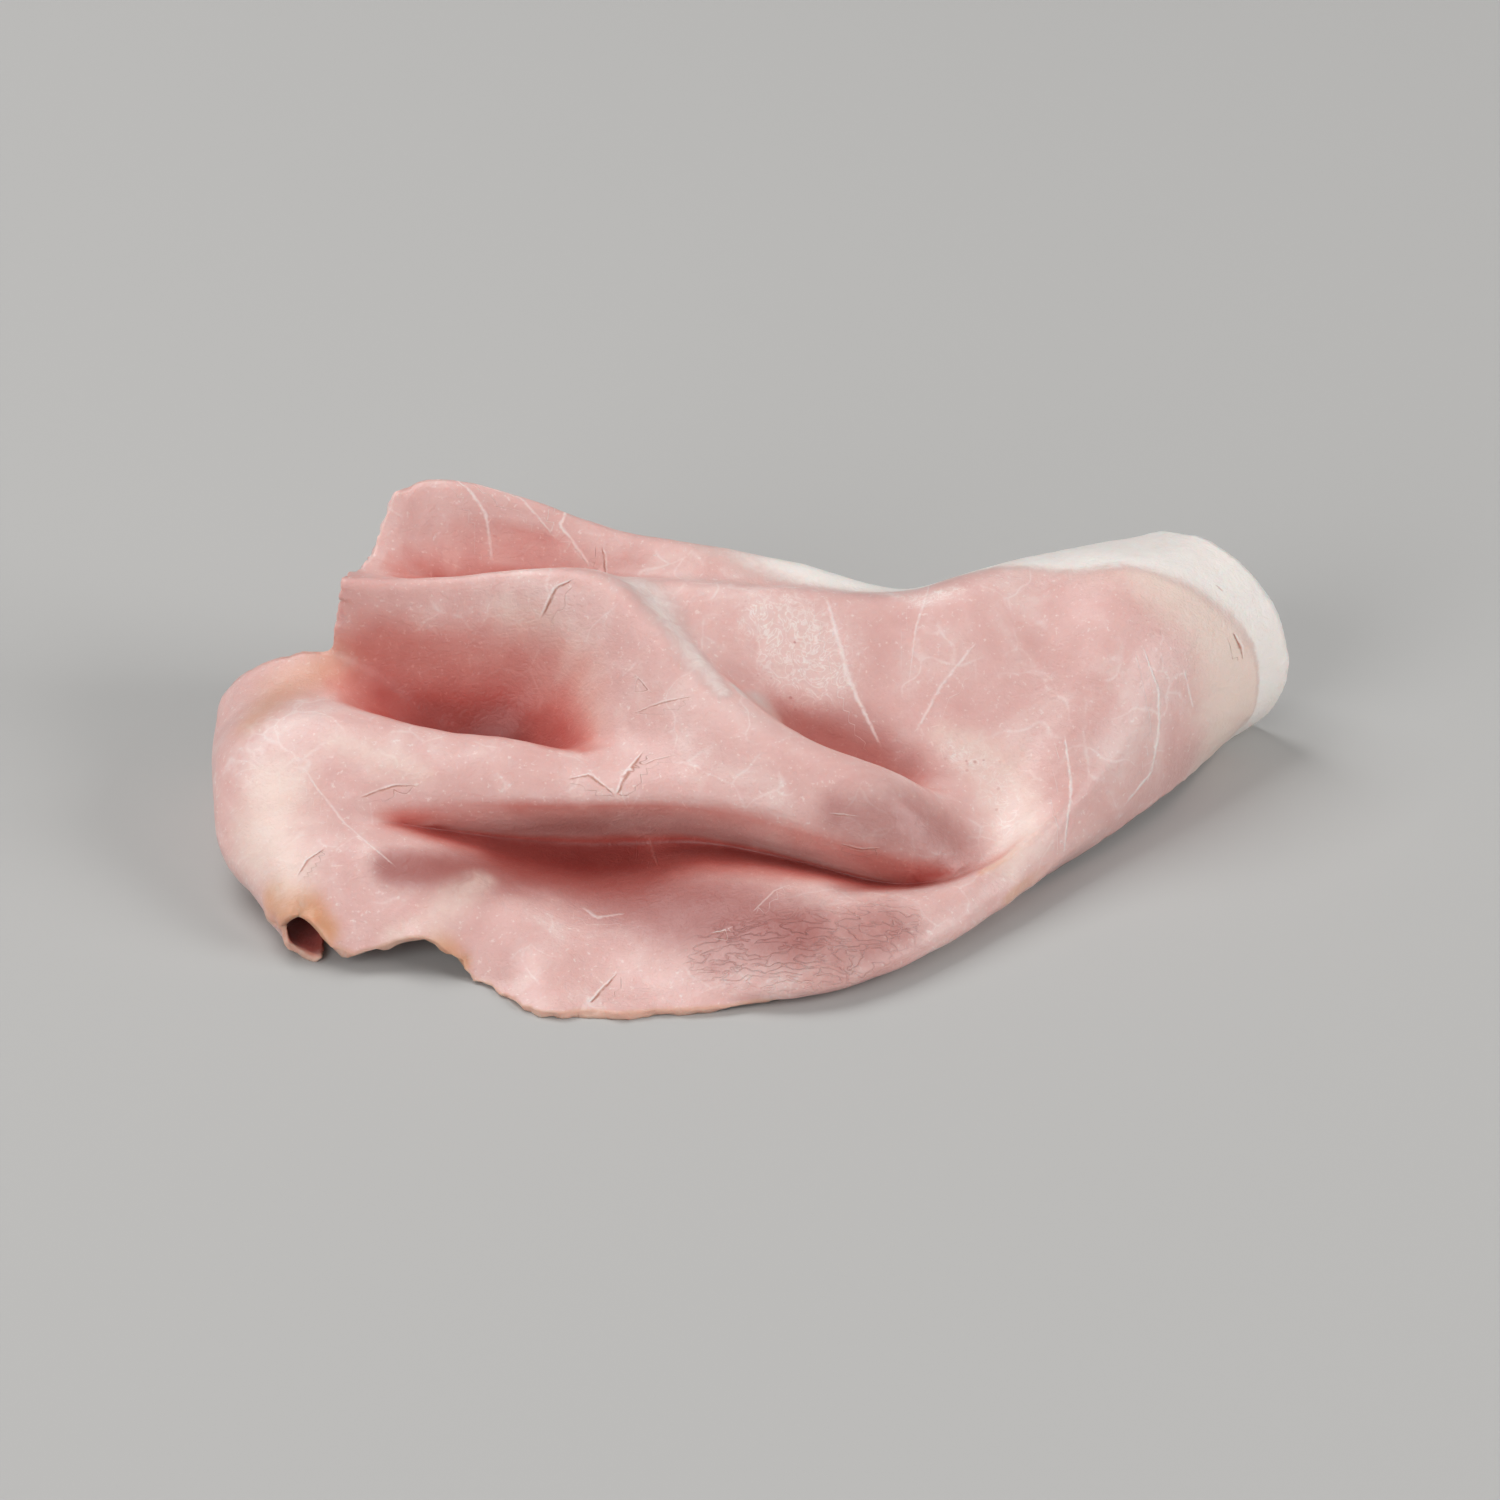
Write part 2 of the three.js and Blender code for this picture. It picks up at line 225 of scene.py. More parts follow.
MARKS = (
    # White fat, gristle and marbling
    Mark(Tissue.FAT, ((-16.5, 36.1), (-13.7, 33.5), (-11.1, 30.2), (-8.3, 26.6), (-5.7, 23.5), (-3.9, 20.9)),
         (3.4, 3.8, 3.4, 2.6, 1.6), 0.55, 0.9),
    Mark(Tissue.GRISTLE, ((-1.6, 21.1), (0.8, 19.3), (3.6, 17)), (1.3, 2.2, 1.2), 0.9, 0.5),
    Mark(Tissue.MARBLED, ((2.6, 31.5), (4.7, 28.6), (7.2, 25.8), (10.3, 22.9)), (4, 6, 6.5, 4), 0.75, 0.8),
    Mark(Tissue.MARBLED, ((18.9, 34.3), (23, 33.5), (28.7, 34.8)), (0.8, 1.6, 1), 0.6, 0.8),
    Mark(Tissue.MARBLED, ((-15.8, 1.8), (-12.7, -0.3), (-8.8, -2.4)), (1, 2, 1), 0.35, 0.9),
    Mark(Tissue.MARBLED, ((27.4, 13.1), (32.6, 10), (34.9, 5.4), (35.4, 1.8)),
         (1.6, 2.4, 2.6, 1.6), 0.5, 0.8),
    # Creamy zones, with a painted highlight on the left belly, and painted warm shade
    Mark(Tissue.CREAM_AND_HIGHLIGHT, ((26.1, 15.2), (30.2, 12.6), (33.9, 9.5), (36.2, 5.4), (37, 1.5), (35.1, -2.4)),
         (1.8, 3, 4.2, 4.4, 4, 3), 0.55, 0.8),
    Mark(Tissue.CREAM_AND_HIGHLIGHT, ((-25.6, -20.5), (-17.8, -17.9), (-11.4, -16.1), (-7.2, -15.3)),
         (2.8, 3.8, 3.8, 3), 0.15, 0.9),
    Mark(Tissue.CREAM_AND_HIGHLIGHT, ((-36.4, -5), (-40.8, -7.8), (-43.4, -11.4), (-48.8, -13.2)),
         (2.2, 3, 3, 2.4), 0.45, 0.8),
    # Painted highlight: the bright left belly is lightened with cream.
    Mark(Tissue.CREAM_AND_HIGHLIGHT, ((-65.1, 7.4), (-66.1, -0.3), (-63, -5)), (5, 6, 4), 0.65, 0.95),
    Mark(Tissue.CREAM_AND_HIGHLIGHT, ((-56.6, 13.9), (-51.4, 11.8), (-45, 9.5)), (2.5, 3, 2), 0.45, 0.95),
    Mark(Tissue.CREAM_AND_HIGHLIGHT, ((-33.3, 31.2), (-28.2, 30.2)), (3, 3), 0.5, 0.95),
    Mark(Tissue.CREAM_AND_HIGHLIGHT, ((-32.8, 32.8), (-26.6, 29.4), (-23, 23.5), (-21.2, 16.7)), (2, 3.5, 4, 3), 0.4, 0.9),
    # Painted warm shade in the pocket and under the arch at the left front, and behind the collar.
    Mark(Tissue.PAINTED_WARM_SHADE, ((-64.9, -7.5), (-61.8, -9.1), (-58.7, -12.2)), (2.6, 3.4, 2.6), 0.9, 0.7),
    Mark(Tissue.PAINTED_WARM_SHADE, ((-45.7, -14.8), (-42.6, -14.5), (-39.5, -16.3)), (1.6, 2.4, 1.6), 0.8, 0.8),
    Mark(Tissue.PAINTED_WARM_SHADE, ((-68.2, 16.5), (-63, 21.7), (-57.9, 24.2)), (3, 5, 4), 0.5, 0.95),
    # Darker muscle, partly painted shade where the flange lies under the lip, at the nose and in the valleys;
    # and where its grain stands up in scales
    Mark(Tissue.DARK_MUSCLE_AND_SHADE, ((38.5, 26.8), (43.2, 20.4), (46.3, 12.6)), (5, 7, 6), 0.2, 0.95),
    Mark(Tissue.DARK_MUSCLE_AND_SHADE, ((-48.8, -3.4), (-35.9, -3.9), (-23, -5), (-10.1, -8.1), (5.4, -11.9)),
         (3, 5.5, 8, 8, 7), 0.85, 0.9),
    Mark(Tissue.DARK_MUSCLE_AND_SHADE, ((-31.5, -13.2), (-33.3, -17.4)), (2, 1.6), 0.3, 0.95),
    Mark(Tissue.DARK_MUSCLE_AND_SHADE, ((-4.4, -15), (2.8, -13.7), (11.9, -13.7), (18.9, -11.2)),
         (5, 6.5, 6.5, 5), 0.55, 0.85),
    Mark(Tissue.DARK_MUSCLE_AND_SHADE, ((11.9, 4.3), (20.9, 2.8), (27.4, 0.2)), (3, 6.5, 6), 0.6, 0.95),
    Mark(Tissue.DARK_MUSCLE_AND_SHADE, ((3.4, 17.3), (11.9, 15.7), (20.4, 11.1)), (3, 5, 3.5), 0.5, 0.95),
    Mark(Tissue.DARK_MUSCLE_AND_SHADE, ((12.7, -6.3), (23, -5), (30.2, -0.8)), (2.4, 3.4, 2.4), 0.45, 0.95),
    Mark(Tissue.SCALY, ((-3.6, -14.8), (4.1, -14), (12.7, -13.7), (19.6, -10.1)), (5, 6.5, 6, 4), 1, 0.4),
    # Thin white seams
    Mark(Tissue.SEAM, ((53.5, 27.3), (55.8, 21.1), (55.8, 15.2), (54.8, 10), (51.2, 5.6)),
         (0.16, 0.3, 0.24), 0.85),
    Mark(Tissue.SEAM, ((42.9, 15.2), (43.9, 8), (42.9, -0.8)), (0.14, 0.26, 0.16), 0.75),
    Mark(Tissue.SEAM, ((59.2, 24.2), (60.5, 18.8)), (0.15, 0.25, 0.15), 0.6),
    Mark(Tissue.SEAM, ((10.3, 33.8), (13.4, 22.4), (17.8, 13.4)), (0.3, 0.4, 0.2), 0.7),
    Mark(Tissue.SEAM, ((22.7, 15.5), (25.8, 21.4), (30.7, 27.6)), (0.2, 0.3, 0.12), 0.55),
    Mark(Tissue.SEAM, ((25.3, 38.4), (22.5, 29.4), (21.7, 22.9)), (0.12, 0.2, 0.1), 0.45),
    Mark(Tissue.SEAM, ((-41.1, 50.3), (-38.2, 47.8), (-36.2, 44.7), (-35.4, 38.4)), (0.14, 0.28, 0.2), 0.7),
    Mark(Tissue.SEAM, ((-38.5, 49.3), (-31.5, 47.2), (-26.4, 41.3)), (0.1, 0.2, 0.14), 0.5),
    Mark(Tissue.SEAM, ((-25.1, 45.9), (-26.1, 43.4), (-23.3, 39.7), (-22, 37.7)), (0.2, 0.3, 0.16), 0.7),
    Mark(Tissue.SEAM, ((-61, 10), (-58.9, 6.9), (-55.3, 2.5), (-48.6, -3.2)), (0.14, 0.22, 0.12), 0.5),
    Mark(Tissue.SEAM, ((-23, -8.6), (-20.9, -10.1), (-17.3, -9.6)), (0.2, 0.35, 0.15), 0.4),
    Mark(Tissue.SEAM, ((-13.7, 0.7), (-12.7, -2.9)), (0.2, 0.3, 0.12), 0.8),
    Mark(Tissue.SEAM, ((0.3, -9.4), (3.4, -6.3), (7, -5)), (0.12, 0.2, 0.1), 0.4),
    # Fine cracks
    Mark(Tissue.CRACK, ((-28.4, 31.2), (-26.6, 34.8), (-24.5, 35.9)), (0.16, 0.24, 0.1), 1),
    Mark(Tissue.CRACK, ((-20.4, 40.5), (-19.9, 36.9)), (0.12, 0.2, 0.1), 0.8),
    Mark(Tissue.CRACK, ((-53.2, 6.1), (-48.6, 7.7), (-45.7, 7.7)), (0.1, 0.18, 0.08), 0.8),
    Mark(Tissue.CRACK, ((-18.1, 6.7), (-16.8, 9.5), (-14.7, 12.4)), (0.18, 0.28, 0.14), 1),
    Mark(Tissue.CRACK, ((-24.8, 8.7), (-22, 9.3), (-18.9, 6.9)), (0.1, 0.2, 0.1), 0.8),
    Mark(Tissue.CRACK, ((-16.3, 9.8), (-13.4, 11.3), (-10.1, 12.1)), (0.08, 0.12, 0.06), 0.5),
    Mark(Tissue.CRACK, ((-15.8, 17.8), (-11.9, 19.3), (-7.8, 20.1)), (0.08, 0.16, 0.06), 0.6),
    Mark(Tissue.CRACK, ((-15.8, 22.9), (-13.7, 20.6)), (0.08, 0.14, 0.06), 0.6),
    Mark(Tissue.CRACK, ((-61.8, -4.7), (-60.5, -2.6), (-58.4, -1.1)), (0.1, 0.18, 0.08), 0.8),
    Mark(Tissue.CRACK, ((-21.7, -21.8), (-19.9, -19.9), (-18.3, -18.1)), (0.16, 0.24, 0.1), 1),
    Mark(Tissue.CRACK, ((-4.7, -12.2), (-2.6, -11.7)), (0.1, 0.16, 0.08), 0.9),
    Mark(Tissue.CRACK, ((12.7, -0.1), (15, -0.8), (17.3, -0.6)), (0.1, 0.18, 0.08), 0.8),
    Mark(Tissue.CRACK, ((10.9, 4.1), (14.2, 3.8)), (0.08, 0.12, 0.06), 0.6),
    Mark(Tissue.CRACK, ((65.9, 29.1), (66.9, 27.1), (67.2, 25.5)), (0.12, 0.3, 0.12), 1),
    Mark(Tissue.CRACK, ((63.6, 35.6), (64.6, 34.8)), (0.12, 0.2, 0.12), 0.5),
)


@dataclass(frozen=True)
class CookedHam:
    """Brined, boiled pork leg, cut by a slicer.

    The cut face is pale pink, even and moist, and a little translucent at the edges. The grain of the muscle,
    creamy fat and thin white seams of gristle show in it.
    """

    lean: str = "#e0b7b1"
    lean_pale: str = "#e8cbc5"
    lean_deep: str = "#d9aba5"
    # Darker muscle; it also paints shade where the lip, the nose and the valleys are in shadow.
    muscle: str = "#a4615b"
    fat: str = "#f8f2ed"
    fat_shade: str = "#efe5df"
    # Cream; it also paints the highlight on the bright left belly.
    cream: str = "#efdccf"
    gristle: str = "#d8c6c1"
    seam: str = "#f4e9e5"
    crack: str = "#bb8271"
    blood: str = "#b04e48"
    # Painted warm shade, orange like light through the sheet in the pockets.
    painted_warm_shade: str = "#d39a76"
    cut_edge: str = "#d9a98d"
    # Painted shade: the colours the meat is multiplied by, darker and redder deeper in the folds.
    fold_shade_ramp: tuple[tuple[float, str], ...] = (
        (0.24, "#ffffff"), (0.40, "#f0c6c0"), (0.55, "#dc8b84"), (0.72, "#b66c67"))
    roughness_low: float = 0.36
    roughness_high: float = 0.54
    ior: float = 1.4
    scatter_share: float = 0.5
    scatter_colour: tuple[float, float, float] = (1.0, 0.45, 0.35)
    scatter_depth: float = 1.2 * MM
    wet_film: float = 0.25
    wet_film_roughness: float = 0.3
    septum_spacing: float = 9 * MM
    mottle_width: float = 11 * MM
    grain_width: float = 0.7 * MM
    cloud_width: float = 3.2 * MM
    curl_width: float = 2.2 * MM
    blood_dot_spacing: float = 1.5 * MM
    wet_patch_width: float = 4 * MM
    lump_width: float = 1.6 * MM
    lump_depth: float = 0.2 * MM
    fibre_width: float = 0.45 * MM
    fibre_depth: float = 0.08 * MM
    scale_length: float = 3.2 * MM
    scale_width: float = 1.1 * MM
    scale_depth: float = 0.2 * MM
    scale_turn_deg: float = 20
    line_depth: float = 0.12 * MM

    def material(self) -> bpy.types.Material:
        """Builds the node material.

        Returns:
            The finished material, which reads the slice's own attributes.
        """
        made = bpy.data.materials.new("cooked_ham_cut_face")
        made.use_nodes = True
        tree = made.node_tree
        tree.nodes.clear()
        place = add_node(tree, "ShaderNodeTexCoord").outputs["Object"]
        # Painted shade in the folds darkens the colour last.
        colour = self.paint_fold_shade(tree, self.paint_tissues(tree, place, self.paint_lean(tree, place)))
        shader = add_node(tree, "ShaderNodeBsdfPrincipled", {
            "Base Color": colour,
            "Roughness": self.moisture(tree, place),
            "Normal": self.relief(tree, place),
            "IOR": self.ior,
            "Subsurface Weight": self.scatter_share,
            "Subsurface Radius": self.scatter_colour,
            "Subsurface Scale": self.scatter_depth,
            "Coat Weight": self.wet_film,
            "Coat Roughness": self.wet_film_roughness,
        })
        add_node(tree, "ShaderNodeOutputMaterial", {"Surface": shader.outputs["BSDF"]})
        return made

    def paint_lean(self, tree: bpy.types.NodeTree, place: bpy.types.NodeSocket) -> bpy.types.NodeSocket:
        """Paints the lean meat: broad pale and deep areas, thin septa between the muscles, and fine flecks.

        Args:
            tree: the material's nodes.
            place: the position on the slice.

        Returns:
            The colour.
        """
        mottle = add_node(tree, "ShaderNodeTexNoise", {
            "Vector": place, "Scale": 1 / self.mottle_width, "Detail": 4.0, "Roughness": 0.6,
            "Distortion": 0.6,
        })
        broad = add_node(tree, "ShaderNodeValToRGB", {"Fac": mottle.outputs["Fac"]})
        set_ramp(broad, (
            (0.3, linear(self.lean_deep)), (0.5, linear(self.lean)), (0.72, linear(self.lean_pale)),
        ))
        septa = add_node(tree, "ShaderNodeTexVoronoi", {
            "Vector": self.wander(tree, place, 5 * MM, 2.5 * MM), "Scale": 1 / self.septum_spacing,
        }, feature="DISTANCE_TO_EDGE")
        walls = span(tree, septa.outputs["Distance"], 0.0, 0.035, 0.32, 0.0)
        patchy = span(tree, mottle.outputs["Fac"], 0.45, 0.62, 0.0, 1.0)
        septum = math_node(tree, "MULTIPLY", walls, patchy)
        walled = mix(tree, septum, broad.outputs["Color"], linear(self.seam))
        grain = add_node(tree, "ShaderNodeTexNoise", {
            "Vector": place, "Scale": 1 / self.grain_width, "Detail": 2.0, "Roughness": 0.6,
        })
        pale_fleck = span(tree, grain.outputs["Fac"], 0.6, 0.74, 0.0, 0.35)
        deep_fleck = span(tree, grain.outputs["Fac"], 0.42, 0.28, 0.0, 0.35)
        flecked = mix(tree, pale_fleck, walled, linear(self.fat))
        return mix(tree, deep_fleck, flecked, linear(self.lean_deep))

    def paint_tissues(self, tree: bpy.types.NodeTree, place: bpy.types.NodeSocket,
                      lean: bpy.types.NodeSocket) -> bpy.types.NodeSocket:
        """Lays darker muscle and painted shade, painted warm shade, cream and a painted highlight, marbling,
        fat, gristle, seams and cracks over the lean.

        Args:
            tree: the material's nodes.
            place: the position on the slice.
            lean: the colour of the lean meat.

        Returns:
            The colour of the whole slice.
        """
        cloud = add_node(tree, "ShaderNodeTexNoise", {
            "Vector": place, "Scale": 1 / self.cloud_width, "Detail": 4.0, "Roughness": 0.6,
            "Distortion": 1.4,
        }).outputs["Fac"]
        curls = self.squiggles(tree, place)
        # Darker muscle, which also paints shade on the flange under the lip, at the nose and in the valleys.
        colour = mix(tree, self.patch(tree, Tissue.DARK_MUSCLE_AND_SHADE, cloud, 0.25), lean, linear(self.muscle))
        # Painted warm shade: the orange glow of light through the sheet in the pockets, and the shade behind
        # the collar.
        colour = mix(tree, self.patch(tree, Tissue.PAINTED_WARM_SHADE, cloud, 0.2), colour, linear(self.painted_warm_shade))
        # Cream-coloured meat, which also paints the highlight on the bright left belly.
        pink_share = math_node(tree, "MULTIPLY", cloud, 0.5)
        creamy = mix(tree, pink_share, linear(self.cream), linear(self.lean_pale))
        colour = mix(tree, self.patch(tree, Tissue.CREAM_AND_HIGHLIGHT, cloud, 0.5), colour, creamy)
        marbled = self.patch(tree, Tissue.MARBLED, cloud, 1.2)
        web_share = math_node(tree, "MULTIPLY", curls, 0.6)
        webbed = mix(tree, web_share, linear(self.lean_pale), linear(self.fat))
        dotted = mix(tree, self.blood_dots(tree, place), webbed, linear(self.blood))
        colour = mix(tree, marbled, colour, dotted)
        fat_colour = mix(tree, cloud, linear(self.fat), linear(self.fat_shade))
        fat = self.patch(tree, Tissue.FAT, cloud, 0.5, 0.3)
        half_fat = math_node(tree, "MULTIPLY", fat, math_node(tree, "SUBTRACT", 1.0, fat))
        border = math_node(tree, "MULTIPLY", half_fat, 1.6)
        colour = mix(tree, border, colour, linear(self.muscle))
        colour = mix(tree, fat, colour, fat_colour)
        colour = mix(tree, self.patch(tree, Tissue.GRISTLE, cloud, 0.3), colour, linear(self.gristle))
        colour = mix(tree, line_share(tree, place, Tissue.SEAM), colour, linear(self.seam))
        cut = add_node(tree, "ShaderNodeAttribute", attribute_name="cut").outputs["Fac"]
        edge = math_node(tree, "MULTIPLY", cut, 0.6)
        colour = mix(tree, edge, colour, linear(self.cut_edge))
        colour = mix(tree, line_share(tree, place, Tissue.CRACK, 1.7, 0.7), colour, linear(self.seam))
        return mix(tree, line_share(tree, place, Tissue.CRACK), colour, linear(self.crack))

    def paint_fold_shade(self, tree: bpy.types.NodeTree, colour: bpy.types.NodeSocket) -> bpy.types.NodeSocket:
        """Paints shade into the folds: reddens and darkens the meat's colour where the folds hide it from the
        light.

        Args:
            tree: the material's nodes.
            colour: the colour in the open.

        Returns:
            The colour.
        """
        depth = add_node(tree, "ShaderNodeAttribute", attribute_name="painted_fold_shade").outputs["Fac"]
        ramp = add_node(tree, "ShaderNodeValToRGB", {"Fac": depth})
        set_ramp(ramp, tuple((position, linear(tint)) for position, tint in self.fold_shade_ramp))
        node = add_node(tree, "ShaderNodeMix", {0: 1.0, 6: colour, 7: ramp.outputs["Color"]},
                        data_type="RGBA", blend_type="MULTIPLY")
        return node.outputs[2]

    def squiggles(self, tree: bpy.types.NodeTree, place: bpy.types.NodeSocket) -> bpy.types.NodeSocket:
        """Draws the fine curled lines of marbled fat.

        Args:
            tree: the material's nodes.
            place: the position on the slice.

        Returns:
            How much of a line shows, from 0 to 1.
        """
        curl = add_node(tree, "ShaderNodeTexNoise", {
            "Vector": place, "Scale": 1 / self.curl_width, "Detail": 2.0, "Roughness": 0.5,
            "Distortion": 2.2,
        })
        off_line = math_node(tree, "ABSOLUTE", math_node(tree, "SUBTRACT", curl.outputs["Fac"], 0.5), 0.0)
        return span(tree, off_line, 0.0, 0.07, 1.0, 0.0)

    def blood_dots(self, tree: bpy.types.NodeTree, place: bpy.types.NodeSocket) -> bpy.types.NodeSocket:
        """Draws the few tiny red dots of the marbled patch.

        Args:
            tree: the material's nodes.
            place: the position on the slice.

        Returns:
            How much of a dot shows, from 0 to 1.
        """
        cells = add_node(tree, "ShaderNodeTexVoronoi", {
            "Vector": place, "Scale": 1 / self.blood_dot_spacing,
        })
        chosen = span(tree, cells.outputs["Color"], 0.55, 0.6, 0.0, 0.7)
        dots = span(tree, cells.outputs["Distance"], 0.1, 0.2, 1.0, 0.0)
        return math_node(tree, "MULTIPLY", dots, chosen)

    def patch(self, tree: bpy.types.NodeTree, tissue: Tissue, cloud: bpy.types.NodeSocket,
              raggedness: float, crispness: float = 0.0) -> bpy.types.NodeSocket:
        """How much of a tissue shows, with an uneven border.

        Args:
            tree: the material's nodes.
            tissue: the tissue whose attribute is read.
            cloud: the noise that breaks up the border.
            raggedness: how far the noise moves the border.
            crispness: how sharp the border is, from 0 to 1.

        Returns:
            The share, from 0 to 1.
        """
        amount = add_node(tree, "ShaderNodeAttribute", attribute_name=tissue.value).outputs["Fac"]
        offset = math_node(tree, "MULTIPLY", math_node(tree, "SUBTRACT", cloud, 0.5), raggedness)
        rest = math_node(tree, "SUBTRACT", 1.0, amount)
        edged = math_node(tree, "MULTIPLY", math_node(tree, "MULTIPLY", amount, 4.0), rest)
        moved = math_node(tree, "MULTIPLY_ADD", offset, edged, amount)
        return span(tree, moved, 0.45 * crispness, 1 - 0.45 * crispness, 0.0, 1.0)

    def moisture(self, tree: bpy.types.NodeTree, place: bpy.types.NodeSocket) -> bpy.types.NodeSocket:
        """The roughness: a moist cut face that has dried in places.

        Args:
            tree: the material's nodes.
            place: the position on the slice.

        Returns:
            The roughness.
        """
        wet = add_node(tree, "ShaderNodeTexNoise", {
            "Vector": place, "Scale": 1 / self.wet_patch_width, "Detail": 4.0, "Roughness": 0.65,
        })
        return span(tree, wet.outputs["Fac"], 0.3, 0.7, self.roughness_low, self.roughness_high)

    def relief(self, tree: bpy.types.NodeTree, place: bpy.types.NodeSocket) -> bpy.types.NodeSocket:
        """The bump of the fine grain, with seams raised and cracks sunk.

        Args:
            tree: the material's nodes.
            place: the position on the slice.

        Returns:
            The normal.
        """
        lumps = add_node(tree, "ShaderNodeTexNoise", {
            "Vector": self.wander(tree, place, 3 * MM, 2 * MM), "Scale": 1 / self.lump_width, "Detail": 4.0,
            "Roughness": 0.6,
        })
        lumpy = add_node(tree, "ShaderNodeBump", {
            "Height": lumps.outputs["Fac"], "Distance": self.lump_depth, "Strength": 0.9,
        })
        fibres = add_node(tree, "ShaderNodeTexNoise", {
            "Vector": place, "Scale": 1 / self.fibre_width, "Detail": 2.0, "Roughness": 0.5,
        })
        fibrous = add_node(tree, "ShaderNodeBump", {
            "Height": fibres.outputs["Fac"], "Distance": self.fibre_depth, "Strength": 0.9,
            "Normal": lumpy.outputs["Normal"],
        })
        turned = add_node(tree, "ShaderNodeMapping", {
            "Vector": self.wander(tree, place, 3 * MM, 1.0 * MM),
            "Rotation": (0, 0, math.radians(self.scale_turn_deg)),
            "Scale": (1 / self.scale_length, 1 / self.scale_width, 1 / self.scale_width),
        }).outputs["Vector"]
        wrinkles = add_node(tree, "ShaderNodeTexNoise", {"Vector": turned, "Scale": 1.0, "Detail": 1.0})
        off_crease = math_node(tree, "SUBTRACT", wrinkles.outputs["Fac"], 0.5)
        creased = math_node(tree, "ABSOLUTE", off_crease, 0.0)
        scaly = add_node(tree, "ShaderNodeAttribute", attribute_name=Tissue.SCALY.value).outputs["Fac"]
        scaled = add_node(tree, "ShaderNodeBump", {
            "Height": span(tree, creased, 0.0, 0.06, 0.0, 1.0), "Distance": self.scale_depth,
            "Strength": math_node(tree, "MULTIPLY_ADD", scaly, 0.75, 0.12),
            "Normal": fibrous.outputs["Normal"],
        })
        sunk = math_node(tree, "MULTIPLY", line_share(tree, place, Tissue.CRACK), 1.2)
        lined = add_node(tree, "ShaderNodeBump", {
            "Height": math_node(tree, "SUBTRACT", line_share(tree, place, Tissue.SEAM), sunk),
            "Distance": self.line_depth, "Strength": 1.0, "Normal": scaled.outputs["Normal"],
        })
        return lined.outputs["Normal"]

    def wander(self, tree: bpy.types.NodeTree, place: bpy.types.NodeSocket, wavelength: float,
               distance: float) -> bpy.types.NodeSocket:
        """Bends a position about, so that what is drawn on it has no straight lines.

        Args:
            tree: the material's nodes.
            place: the position on the slice.
            wavelength: how far apart the bends are.
            distance: how far a point moves.

        Returns:
            The bent position.
        """
        drift = add_node(tree, "ShaderNodeTexNoise", {
            "Vector": place, "Scale": 1 / wavelength, "Detail": 1.0,
        })
        centred = add_node(tree, "ShaderNodeVectorMath", {
            0: drift.outputs["Color"], 1: (0.5, 0.5, 0.5),
        }, operation="SUBTRACT")
        scaled = add_node(tree, "ShaderNodeVectorMath", {
            0: centred.outputs["Vector"], "Scale": 2 * distance,
        }, operation="SCALE")
        moved = add_node(tree, "ShaderNodeVectorMath", {
            0: place, 1: scaled.outputs["Vector"],
        }, operation="ADD")
        return moved.outputs["Vector"]


def add_node(tree: bpy.types.NodeTree, kind: str, inputs: dict[str | int, Any] | None = None,
             **settings: Any) -> bpy.types.Node:
    """Adds a node, sets it and links it.

    Args:
        tree: the nodes to add it to.
        kind: the node's type name.
        inputs: for each input, a socket to link or a value to set.
        settings: the node's own properties.

    Returns:
        The node.
    """
    node = tree.nodes.new(kind)
    for name, value in settings.items():
        setattr(node, name, value)
    for name, value in (inputs or {}).items():
        if isinstance(value, bpy.types.NodeSocket):
            tree.links.new(value, node.inputs[name])
        else:
            node.inputs[name].default_value = value
    return node


def set_ramp(ramp: bpy.types.Node, stops: tuple[tuple[float, tuple[float, ...]], ...]) -> None:
    """Gives a colour ramp its stops.

    Args:
        ramp: the ramp's node.
        stops: the place and colour of each stop, in order.
    """
    elements = ramp.color_ramp.elements
    while len(elements) < len(stops):
        elements.new(1.0)
    for element, (position, colour) in zip(elements, stops):
        element.position = position
        element.color = colour


def mix(tree: bpy.types.NodeTree, share: Any, first: Any, second: Any) -> bpy.types.NodeSocket:
    """Mixes two colours.

    Args:
        tree: the material's nodes.
        share: how much of the second shows, a socket or a number.
        first: the colour under it, a socket or a colour.
        second: the colour over it, a socket or a colour.

    Returns:
        The mixed colour.
    """
    node = add_node(tree, "ShaderNodeMix", {0: share, 6: first, 7: second}, data_type="RGBA")
    return node.outputs[2]


def math_node(tree: bpy.types.NodeTree, operation: str, first: Any, second: Any,
              third: Any = None) -> bpy.types.NodeSocket:
    """Works out a sum of sockets or numbers.

    Args:
        tree: the material's nodes.
        operation: the name of the sum.
        first: its first number.
        second: its second number.
        third: its third number, where it takes one.

    Returns:
        The result.
    """
    numbers = {0: first, 1: second}
    if third is not None:
        numbers[2] = third
    return add_node(tree, "ShaderNodeMath", numbers, operation=operation).outputs["Value"]


def span(tree: bpy.types.NodeTree, value: Any, low: float, high: float, at_low: float,
         at_high: float) -> bpy.types.NodeSocket:
    """Turns a value into a share that runs smoothly between two ends.

    Args:
        tree: the material's nodes.
        value: the value, a socket.
        low: the value at the first end.
        high: the value at the second end.
        at_low: the share at the first end.
        at_high: the share at the second end.

    Returns:
        The share.
    """
    node = add_node(tree, "ShaderNodeMapRange", {
        "Value": value, "From Min": low, "From Max": high, "To Min": at_low, "To Max": at_high,
    }, interpolation_type="SMOOTHSTEP")
    return node.outputs["Result"]


